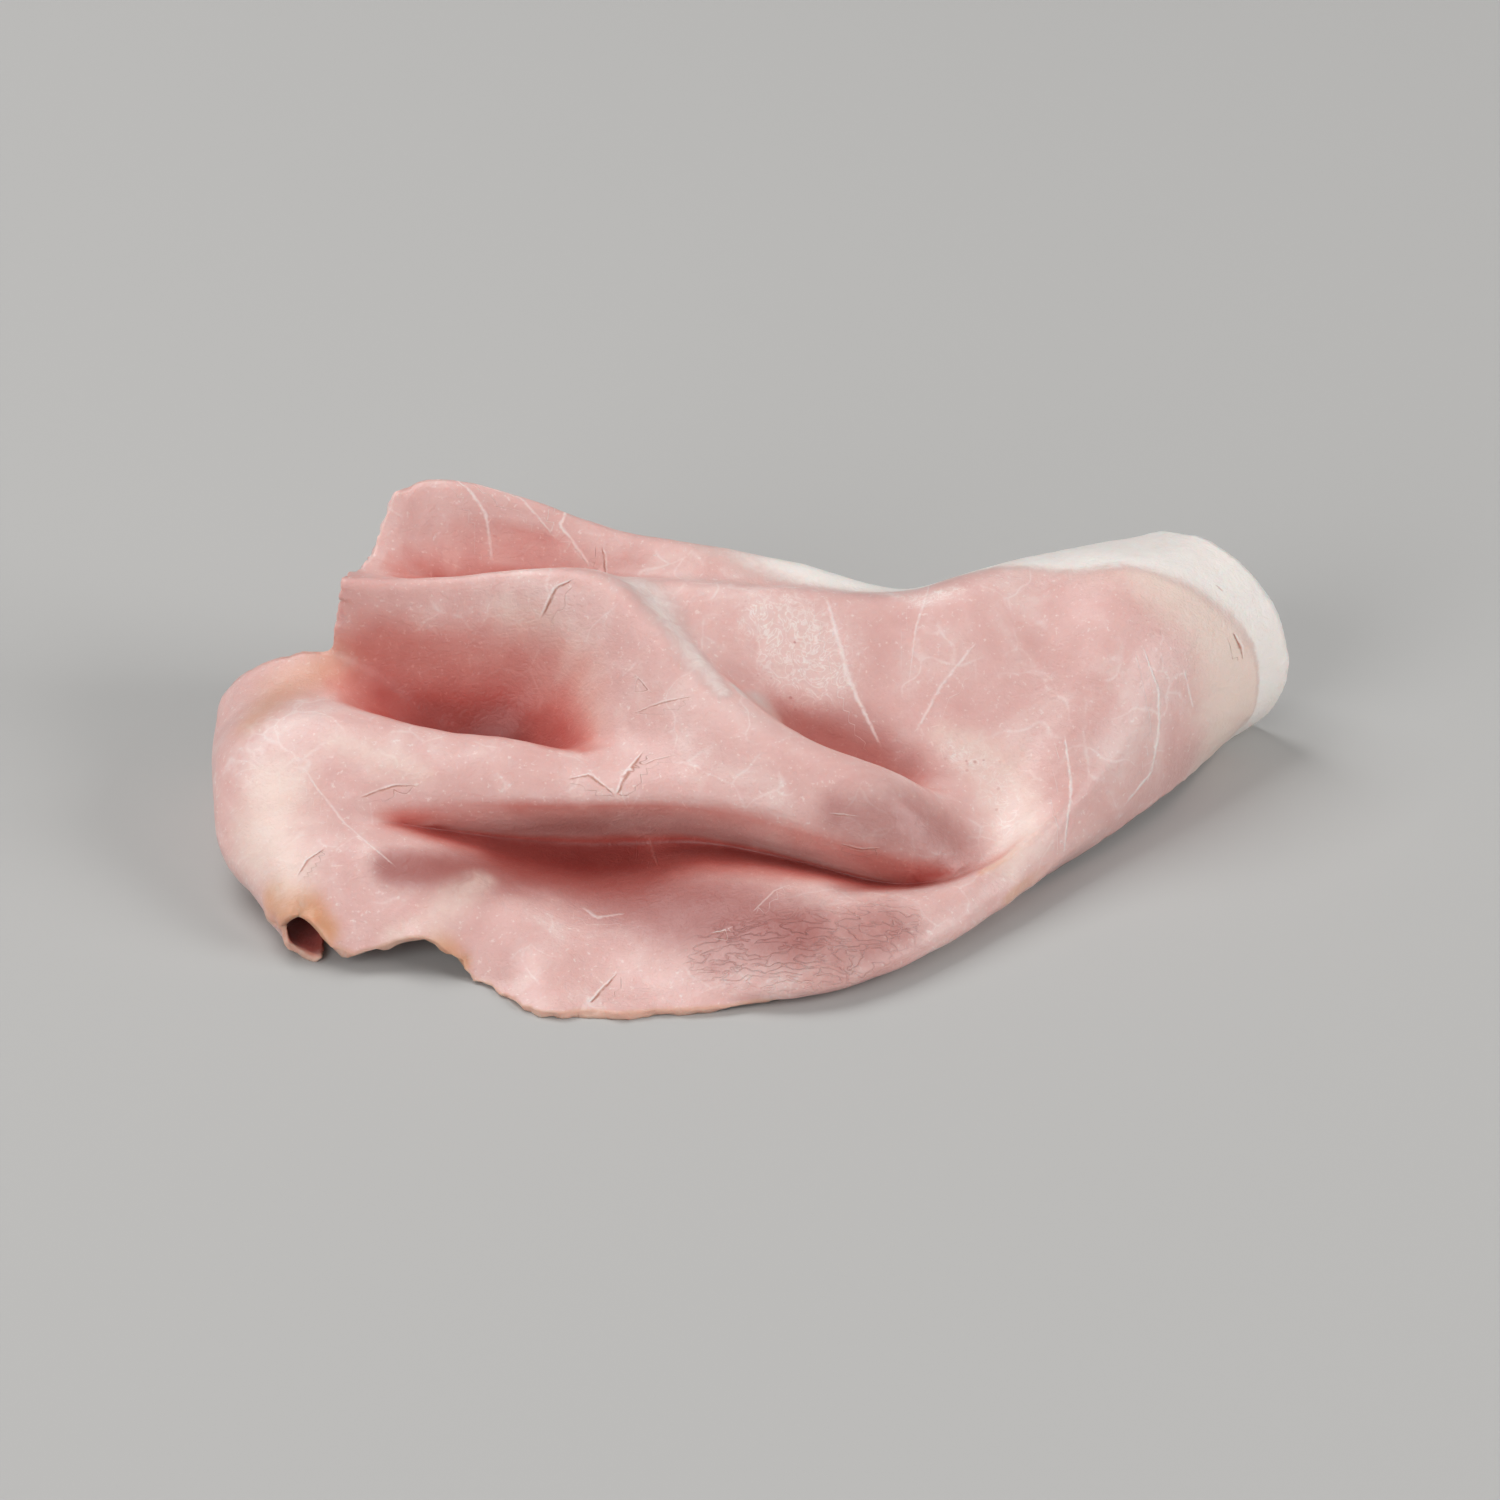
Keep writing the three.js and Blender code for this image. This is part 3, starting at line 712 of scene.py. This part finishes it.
def line_share(tree: bpy.types.NodeTree, place: bpy.types.NodeSocket, tissue: Tissue, aside: float = 0.0,
               strength: float = 1.0) -> bpy.types.NodeSocket:
    """How much of a thin line shows: full in its middle, none past its width, uneven along its way.

    Args:
        tree: the material's nodes.
        place: the position on the slice.
        tissue: the seam or crack whose attributes are read.
        aside: how many half widths to one side of its middle the line is drawn.
        strength: how strongly it shows.

    Returns:
        The share, from 0 to 1.
    """
    wobble_width = 1.1 * MM
    offset = add_node(tree, "ShaderNodeAttribute", attribute_name=tissue.value + "_offset").outputs["Fac"]
    shown = add_node(tree, "ShaderNodeAttribute", attribute_name=tissue.value).outputs["Fac"]
    wobble = add_node(tree, "ShaderNodeTexNoise", {"Vector": place, "Scale": 1 / wobble_width, "Detail": 2.0})
    bend = math_node(tree, "SUBTRACT", wobble.outputs["Fac"], 0.5)
    shifted = math_node(tree, "MULTIPLY_ADD", bend, 2.0, math_node(tree, "SUBTRACT", offset, aside))
    across = span(tree, math_node(tree, "ABSOLUTE", shifted, 0.0), 0.0, 1.5, 1.0, 0.0)
    uneven = span(tree, wobble.outputs["Fac"], 0.3, 0.55, 0.45 * strength, strength)
    return math_node(tree, "MULTIPLY", math_node(tree, "MULTIPLY", across, shown), uneven)


@dataclass
class HamSlice:
    """The crumpled slice: one sheet of cooked ham, folded back on itself, with torn and cut edges."""

    view: PhotographView
    finish: CookedHam
    node: str = "ham_slice"
    name: str = "cooked_ham_slice"
    thickness: float = 1.2 * MM
    levels: int = 2
    rim_crease: float = 0.55
    mouth: tuple[float, float] = (61.1 * MM, 37.4 * MM)
    mouth_turn_deg: float = 57.8
    fat_rim: float = 6.6 * MM
    cream_rim: float = 20 * MM
    sky_rays: int = 64
    sky_reach: float = 35 * MM
    fray_reach: float = 3 * MM
    jag_width: float = 2.2 * MM
    jag_depth: float = 0.35 * MM
    nick_width: float = 7 * MM
    nick_depth: float = 0.3 * MM
    tear_width: float = 3.2 * MM
    tear_depth: float = 3.5 * MM
    lump_width: float = 7 * MM
    lump_height: float = 0.16 * MM
    grain_width: float = 2.4 * MM
    grain_height: float = 0.05 * MM
    line_reach: float = 2.2 * MM
    piece: bpy.types.Object = field(init=False)
    places: np.ndarray = field(init=False)
    normals: np.ndarray = field(init=False)
    rim_distance: np.ndarray = field(init=False)
    rim_nearest: np.ndarray = field(init=False)

    def build(self, frame: dict[str, Any]) -> bpy.types.Object:
        """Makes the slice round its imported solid.


        Returns:
            The finished piece.
        """
        self.piece = self.copy_of(frame["nodes"][self.node])
        self.classify_sides()
        self.measure_hollows()
        self.smooth()
        self.fray_rim()
        self.raise_relief()
        self.paint()
        self.piece.data.materials.clear()
        self.piece.data.materials.append(self.finish.material())
        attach(self.piece, "root")
        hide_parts(self.node)
        return self.piece

    def copy_of(self, node: bpy.types.Object) -> bpy.types.Object:
        """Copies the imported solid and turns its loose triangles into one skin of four-sided faces.

        Args:
            node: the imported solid.

        Returns:
            The new piece.
        """
        piece = bpy.data.objects.new(self.name, node.data.copy())
        piece.data.name = self.name
        bpy.context.scene.collection.objects.link(piece)
        select_only(piece)
        bpy.ops.object.mode_set(mode="EDIT")
        bpy.ops.mesh.select_all(action="SELECT")
        bpy.ops.mesh.remove_doubles(threshold=0.01 * MM)
        turn = math.radians(60)
        bpy.ops.mesh.tris_convert_to_quads(face_threshold=turn, shape_threshold=turn)
        bpy.ops.mesh.customdata_custom_splitnormals_clear()
        bpy.ops.object.mode_set(mode="OBJECT")
        return piece

    def classify_sides(self) -> None:
        """Finds the cut rim by the short edges that stand across the sheet, and then the two faces.

        The rim's faces, and the upper face's, are named in a face attribute. The rim's long edges are
        creased, so that smoothing keeps them crisp.
        """
        skin = bmesh.new()
        skin.from_mesh(self.piece.data)
        side_layer = skin.faces.layers.int.new("side")
        crease_layer = skin.edges.layers.float.new("crease_edge")
        skin.normal_update()
        across = {edge for edge in skin.edges if self.stands_across(edge)}
        sides = {face: Side.RIM for face in skin.faces if any(edge in across for edge in face.edges)}
        regions = []
        for seed in skin.faces:
            if seed in sides:
                continue
            sides[seed] = Side.UPPER
            region = [seed]
            for face in region:
                for neighbour in (other for edge in face.edges for other in edge.link_faces):
                    if neighbour not in sides:
                        sides[neighbour] = Side.UPPER
                        region.append(neighbour)
            regions.append(region)
        regions.sort(key=len, reverse=True)
        upper = max(regions[:2], key=lambda region: sum(face.normal.z * face.calc_area() for face in region))
        chosen = set(upper)
        for face in skin.faces:
            side = sides[face] if sides[face] is Side.RIM or face in chosen else Side.LOWER
            face[side_layer] = side.value
        for edge in skin.edges:
            values = {face[side_layer] for face in edge.link_faces}
            if len(values) == 2 and Side.RIM.value in values:
                edge[crease_layer] = self.rim_crease
        skin.to_mesh(self.piece.data)
        skin.free()
        log.info("faces: %d rim, regions %s", sum(s is Side.RIM for s in sides.values()),
                 [len(region) for region in regions[:4]])

    def stands_across(self, edge: bmesh.types.BMEdge) -> bool:
        """Whether an edge joins the slice's two faces, which only the rim's short edges do.

        Args:
            edge: the edge.

        Returns:
            True if the sheet's own faces at its two ends face apart along it.
        """
        longest = 1.15 * self.thickness
        if edge.calc_length() > longest:
            return False
        direction = (edge.verts[1].co - edge.verts[0].co).normalized()
        turns = []
        for vertex in edge.verts:
            normal = Vector()
            for face in vertex.link_faces:
                if face not in edge.link_faces[:]:
                    normal += face.normal * face.calc_area()
            turns.append(normal.normalized().dot(direction))
        least = 0.3
        return turns[0] < -least and turns[1] > least

    def measure_hollows(self) -> None:
        """Measures how deep in the folds each point lies, by the share of the sky that it doesn't see; this
        is the mask of the shade painted into the folds.
        """
        mesh = self.piece.data
        tree = BVHTree.FromObject(self.piece, bpy.context.evaluated_depsgraph_get())
        rays = sphere_directions(self.sky_rays)
        lift = 0.3 * MM
        depth = np.zeros(len(mesh.vertices))
        for index, vertex in enumerate(mesh.vertices):
            start = vertex.co + vertex.normal * lift
            facing = [ray for ray in rays if ray.dot(vertex.normal) > 0.1]
            blocked = sum(tree.ray_cast(start, ray, self.sky_reach)[0] is not None for ray in facing)
            depth[index] = blocked / max(len(facing), 1)
        # Painted shade: faces that look down get less of the painted fold shade.
        upward = smooth_step(-0.6, 0.1, np.array([vertex.normal.z for vertex in mesh.vertices]))
        write_attribute(mesh, "painted_fold_shade", depth * (0.4 + 0.6 * upward))

    def smooth(self) -> None:
        """Rounds the folds with a subdivision surface."""
        select_only(self.piece)
        modifier = self.piece.modifiers.new("round folds", "SUBSURF")
        modifier.levels = self.levels
        modifier.render_levels = self.levels
        bpy.ops.object.modifier_apply(modifier=modifier.name)
        bpy.ops.object.shade_smooth()
        self.read_mesh()

    def read_mesh(self) -> None:
        """Reads the vertices' places and normals."""
        mesh = self.piece.data
        mesh.update()
        count = len(mesh.vertices)
        self.places = np.zeros(count * 3)
        mesh.vertices.foreach_get("co", self.places)
        self.places = self.places.reshape(-1, 3)
        self.normals = np.zeros(count * 3)
        mesh.vertex_normals.foreach_get("vector", self.normals)
        self.normals = self.normals.reshape(-1, 3)

    def move_vertices(self, places: np.ndarray) -> None:
        """Puts the vertices at new places, none below the surface that the slice lies on.

        Args:
            places: the new places, one a row.
        """
        places[:, 2] = np.maximum(places[:, 2], 0)
        self.piece.data.vertices.foreach_set("co", places.ravel())
        self.read_mesh()

    def rim_vertices(self) -> np.ndarray:
        """Finds the vertices of the cut rim.

        Returns:
            Their indices.
        """
        mesh = self.piece.data
        sides = np.zeros(len(mesh.polygons), np.int32)
        mesh.attributes["side"].data.foreach_get("value", sides)
        corners = np.zeros(len(mesh.loops), np.int32)
        mesh.loops.foreach_get("vertex_index", corners)
        totals = np.zeros(len(mesh.polygons), np.int32)
        mesh.polygons.foreach_get("loop_total", totals)
        return np.unique(corners[np.repeat(sides == Side.RIM.value, totals)])

    def fray_rim(self) -> None:
        """Makes the cut and torn edges uneven, by moving the rim in and out in the sheet's own plane."""
        rim = self.rim_vertices()
        tree = KDTree(len(rim))
        for slot, index in enumerate(rim):
            tree.insert(self.places[index], slot)
        tree.balance()
        found = [tree.find(place) for place in self.places]
        nearest = np.array([slot for _, slot, _ in found])
        distance = np.array([length for _, _, length in found])
        near = distance < self.fray_reach
        sums = np.zeros((len(rim), 3))
        counts = np.zeros(len(rim))
        np.add.at(sums, nearest[near], self.places[near])
        np.add.at(counts, nearest[near], 1)
        rim_places = self.places[rim]
        pull = np.zeros_like(rim_places)
        width = 4 * MM
        for slot, place in enumerate(rim_places):
            close = tree.find_range(place, width)
            members = [other for _, other, _ in close]
            pull[slot] = sums[members].sum(0) / max(counts[members].sum(), 1) - place
        inward = unit(pull)
        torn = self.torn_share(rim_places)
        jags = self.jag_depth * noise_at(rim_places, self.jag_width, 3.1, 3)
        nicks = self.nick_depth * noise_at(rim_places, self.nick_width, 8.7)
        tears = self.tear_depth * np.maximum(noise_at(rim_places, self.tear_width, 4.4) - 0.15, 0) * torn
        depth = (jags + nicks) * (0.6 + 1.6 * torn) + tears
        share = smooth_step(self.fray_reach, 0, distance)
        moved = self.places + inward[nearest] * (depth[nearest] * share)[:, None]
        self.move_vertices(moved)
        self.rim_distance = distance
        self.rim_nearest = rim_places[nearest]

    def torn_share(self, places: np.ndarray) -> np.ndarray:
        """How torn the rim is: the left end of the collar most, and the loose front edge a little.

        Args:
            places: points on the rim.

        Returns:
            A share from 0 to 1 for each.
        """
        collar = smooth_step(-38 * MM, -48 * MM, places[:, 0]) * smooth_step(18 * MM, 26 * MM, places[:, 2])
        front = smooth_step(-20 * MM, -32 * MM, places[:, 1]) * smooth_step(5 * MM, -25 * MM, places[:, 0])
        return np.maximum(collar, 0.9 * front)

    def raise_relief(self) -> None:
        """Gives the two faces the soft lumps and the grain of cut meat."""
        lumps = self.lump_height * noise_at(self.places, self.lump_width, 1.3, 2)
        grain = self.grain_height * noise_at(self.places, self.grain_width, 5.9, 2)
        self.move_vertices(self.places + self.normals * (lumps + grain)[:, None])

    def paint(self) -> None:
        """Writes how much of each tissue, and of the painted shade and highlight, every vertex shows."""
        shares = {tissue: np.zeros(len(self.places)) for tissue in Tissue}
        offsets = {tissue: np.full(len(self.places), 9.0) for tissue in (Tissue.SEAM, Tissue.CRACK)}
        self.paint_rims(shares)
        tree = BVHTree.FromObject(self.piece, bpy.context.evaluated_depsgraph_get())
        for mark in MARKS:
            points, normals, along = self.lay(mark, tree)
            if len(points) < 2:
                log.warning("a %s mark misses the slice", mark.tissue.value)
                continue
            half = np.interp(along, np.linspace(0, 1, len(mark.half_widths)), mark.half_widths) * MM
            if mark.tissue in offsets:
                self.draw_line(mark, points, normals, along, half, shares, offsets)
            else:
                self.draw_patch(mark, points, half, shares)
        for tissue, share in shares.items():
            write_attribute(self.piece.data, tissue.value, share)
        for tissue, offset in offsets.items():
            write_attribute(self.piece.data, tissue.value + "_offset", offset)

    def paint_rims(self, shares: dict[Tissue, np.ndarray]) -> None:
        """Paints the layer of fat along the rolled end, the paler meat beside it, the fat of the back and
        the dried cut edge at the front.

        Args:
            shares: the shares to add to.
        """
        x, y, z = self.places.T
        roll_start = 30 * MM
        turn = math.radians(self.mouth_turn_deg)
        from_mouth = (self.mouth[0] - x) * math.cos(turn) + (self.mouth[1] - y) * math.sin(turn)
        distance = np.where(x > roll_start, from_mouth, np.inf)
        uneven = noise_at(self.places, 9 * MM, 12.4) * 0.7 * MM
        fat = smooth_step(self.fat_rim + 0.8 * MM, self.fat_rim - 0.8 * MM, distance + uneven)
        cream = smooth_step(self.cream_rim + 6 * MM, self.cream_rim - 8 * MM, distance + 3 * uneven)
        back = smooth_step(-18 * MM, 12 * MM, x) * smooth_step(21 * MM, 27 * MM, y)
        height = z + 3 * uneven
        layers = np.maximum(smooth_step(12 * MM, 18 * MM, height), smooth_step(8 * MM, 5 * MM, height))
        loose = smooth_step(-12 * MM, -20 * MM, self.rim_nearest[:, 1])
        shares[Tissue.FAT] = np.maximum(fat, 0.85 * back * layers)
        shares[Tissue.CREAM_AND_HIGHLIGHT] = np.maximum(0.85 * cream, 0.7 * back)
        cut = smooth_step(0.5 * MM, 0.2 * MM, self.rim_distance) * loose
        write_attribute(self.piece.data, "cut", cut)

    def lay(self, mark: Mark, tree: BVHTree) -> tuple[np.ndarray, np.ndarray, np.ndarray]:
        """Lays a mark's path on the slice, as the photograph's view sees it.

        Args:
            mark: the mark.
            tree: the slice's faces.

        Returns:
            Closely spaced points on the slice, the surface's normals there and each point's place along
            the path, from 0 to 1.
        """
        path = np.array(mark.path)
        lengths = np.concatenate([[0], np.cumsum(np.linalg.norm(np.diff(path, axis=0), axis=1))])
        step = 0.25
        count = max(int(lengths[-1] / step), 2)
        stations = np.linspace(0, lengths[-1], count)
        across = np.interp(stations, lengths, path[:, 0])
        up = np.interp(stations, lengths, path[:, 1])
        points, normals, along = [], [], []
        for station, a, u in zip(stations, across, up):
            hit, normal, _, _ = tree.ray_cast(self.view.eye, self.view.direction_to(a, u))
            if hit is not None:
                points.append(hit)
                normals.append(normal)
                along.append(station / lengths[-1])
        return np.array(points), np.array(normals), np.array(along)

    def draw_patch(self, mark: Mark, points: np.ndarray, half: np.ndarray,
                   shares: dict[Tissue, np.ndarray]) -> None:
        """Paints a patch round its path.

        Args:
            mark: the patch.
            points: the path on the slice.
            half: half the patch's width at each point.
            shares: the shares to add to.
        """
        near, ratio = self.nearest_on(points, half, (1 + mark.softness) * half.max())
        share = mark.strength * smooth_step(1 + mark.softness, 1 - mark.softness, ratio)
        shares[mark.tissue][near] = np.maximum(shares[mark.tissue][near], share)

    def nearest_on(self, points: np.ndarray, half: np.ndarray, reach: float) -> tuple[np.ndarray, np.ndarray]:
        """Finds the vertices near a path, and how far off they are as a share of its half width.

        Args:
            points: the path on the slice.
            half: half its width at each point.
            reach: how far from the path a vertex counts.

        Returns:
            The vertices' indices, and for each its distance over the half width.
        """
        low = points.min(0) - reach
        high = points.max(0) + reach
        near = np.nonzero(((self.places > low) & (self.places < high)).all(1))[0]
        distance = np.linalg.norm(self.places[near][:, None] - points[None], axis=2)
        return near, (distance / half[None]).min(1)

    def draw_line(self, mark: Mark, points: np.ndarray, normals: np.ndarray, along: np.ndarray,
                  half: np.ndarray, shares: dict[Tissue, np.ndarray],
                  offsets: dict[Tissue, np.ndarray]) -> None:
        """Draws a thin seam or crack, as each vertex's distance to one side of its middle.

        Args:
            mark: the line.
            points: its path on the slice.
            normals: the surface's normals on the path.
            along: each point's place along the path.
            half: half the line's width at each point.
            shares: the shares to add to.
            offsets: the distances, in half widths, to write.
        """
        low = points.min(0) - self.line_reach
        high = points.max(0) + self.line_reach
        near = np.nonzero(((self.places > low) & (self.places < high)).all(1))[0]
        gaps = self.places[near][:, None] - points[None]
        distance = np.linalg.norm(gaps, axis=2)
        closest = distance.argmin(1)
        chosen = distance[np.arange(len(near)), closest] < self.line_reach
        near, closest = near[chosen], closest[chosen]
        sideways = unit(np.cross(normals, unit(np.gradient(points, axis=0))))
        offset = ((self.places[near] - points[closest]) * sideways[closest]).sum(1) / half[closest]
        ends = smooth_step(0, 0.06, along[closest]) * smooth_step(1, 0.94, along[closest])
        better = np.abs(offset) < np.abs(offsets[mark.tissue][near])
        near, closest, offset, ends = near[better], closest[better], offset[better], ends[better]
        offsets[mark.tissue][near] = offset
        shares[mark.tissue][near] = mark.strength * ends


def sphere_directions(count: int) -> list[Vector]:
    """Spreads directions evenly over a sphere by the golden angle.

    Args:
        count: how many.

    Returns:
        The directions.
    """
    golden = math.pi * (3 - math.sqrt(5))
    directions = []
    for index in range(count):
        height = 1 - 2 * (index + 0.5) / count
        radius = math.sqrt(1 - height * height)
        angle = golden * index
        directions.append(Vector((radius * math.cos(angle), radius * math.sin(angle), height)))
    return directions


def write_attribute(mesh: bpy.types.Mesh, name: str, values: np.ndarray) -> None:
    """Writes one number for each vertex.

    Args:
        mesh: the mesh.
        name: the attribute's name.
        values: the numbers.
    """
    attribute = mesh.attributes.get(name) or mesh.attributes.new(name, "FLOAT", "POINT")
    attribute.data.foreach_set("value", values.astype(np.float32))


def select_only(piece: bpy.types.Object) -> None:
    """Selects one object and makes it active.

    Args:
        piece: the object.
    """
    bpy.ops.object.select_all(action="DESELECT")
    piece.select_set(True)
    bpy.context.view_layer.objects.active = piece


@dataclass
class Studio:
    """A plain pale floor, soft lights and the photograph's camera, moved in closer by its lens."""

    view: PhotographView
    sensor: float = 36.0
    seen_width: float = 205 * MM
    aim: tuple[float, float, float] = (0, 0, 15 * MM)

    def build(self) -> None:
        """Makes the floor, the lights and the camera."""
        self.add_floor()
        self.add_softbox("key_light", (-0.5, 0.4, 1.0), 0.8, 9)
        self.add_softbox("side_light", (1.0, -0.3, 0.55), 0.6, 7.5)
        self.add_softbox("front_light", (-0.7, -1.0, 0.6), 0.9, 9.5)
        world = bpy.data.worlds.new("studio")
        world.use_nodes = True
        background = world.node_tree.nodes["Background"]
        background.inputs["Color"].default_value = (1, 1, 1, 1)
        background.inputs["Strength"].default_value = 0.1
        bpy.context.scene.world = world
        bpy.context.scene.view_settings.view_transform = "Standard"
        self.add_camera()

    def add_floor(self) -> None:
        """Adds the floor as one wide plane."""
        bpy.ops.object.select_all(action="DESELECT")
        bpy.ops.mesh.primitive_plane_add(size=8, location=(0, 0, 0))
        floor = bpy.context.object
        floor.name = "studio_floor"
        paper = bpy.data.materials.new("matt_paper_backdrop")
        paper.use_nodes = True
        shader = paper.node_tree.nodes["Principled BSDF"]
        shader.inputs["Base Color"].default_value = linear("#b9b8b6")
        shader.inputs["Roughness"].default_value = 0.9
        floor.data.materials.append(paper)

    def add_softbox(self, name: str, place: tuple[float, float, float], size: float, power: float) -> None:
        """Adds a square soft light that faces the part.

        Args:
            name: the light's name.
            place: where it stands, in metres.
            size: its width.
            power: its power in watts.
        """
        lamp = bpy.data.lights.new(name, "AREA")
        lamp.size = size
        lamp.energy = power
        light = bpy.data.objects.new(name, lamp)
        light.location = place
        light.rotation_euler = (-Vector(place)).to_track_quat("-Z", "Y").to_euler()
        bpy.context.scene.collection.objects.link(light)

    def add_camera(self) -> None:
        """Adds the camera at the photograph's place, with a lens that fills the frame with the slice."""
        lens = bpy.data.cameras.new("camera")
        lens.sensor_width = self.sensor
        lens.lens = self.sensor * self.view.distance / self.seen_width
        lens.clip_end = 20
        camera = bpy.data.objects.new("camera", lens)
        camera.location = self.view.eye
        forward = Vector(self.aim) - self.view.eye
        camera.rotation_euler = forward.to_track_quat("-Z", "Y").to_euler()
        bpy.context.scene.collection.objects.link(camera)
        bpy.context.scene.camera = camera


def main() -> None:
    """Builds the slice and the studio round it."""
    logging.basicConfig(level=logging.INFO, format="%(name)s: %(message)s")
    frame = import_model()
    view = PhotographView()
    Studio(view).build()
    piece = HamSlice(view, CookedHam()).build(frame)
    log.info("%s: %d faces", piece.name, len(piece.data.polygons))


if __name__ == "__main__":
    main()
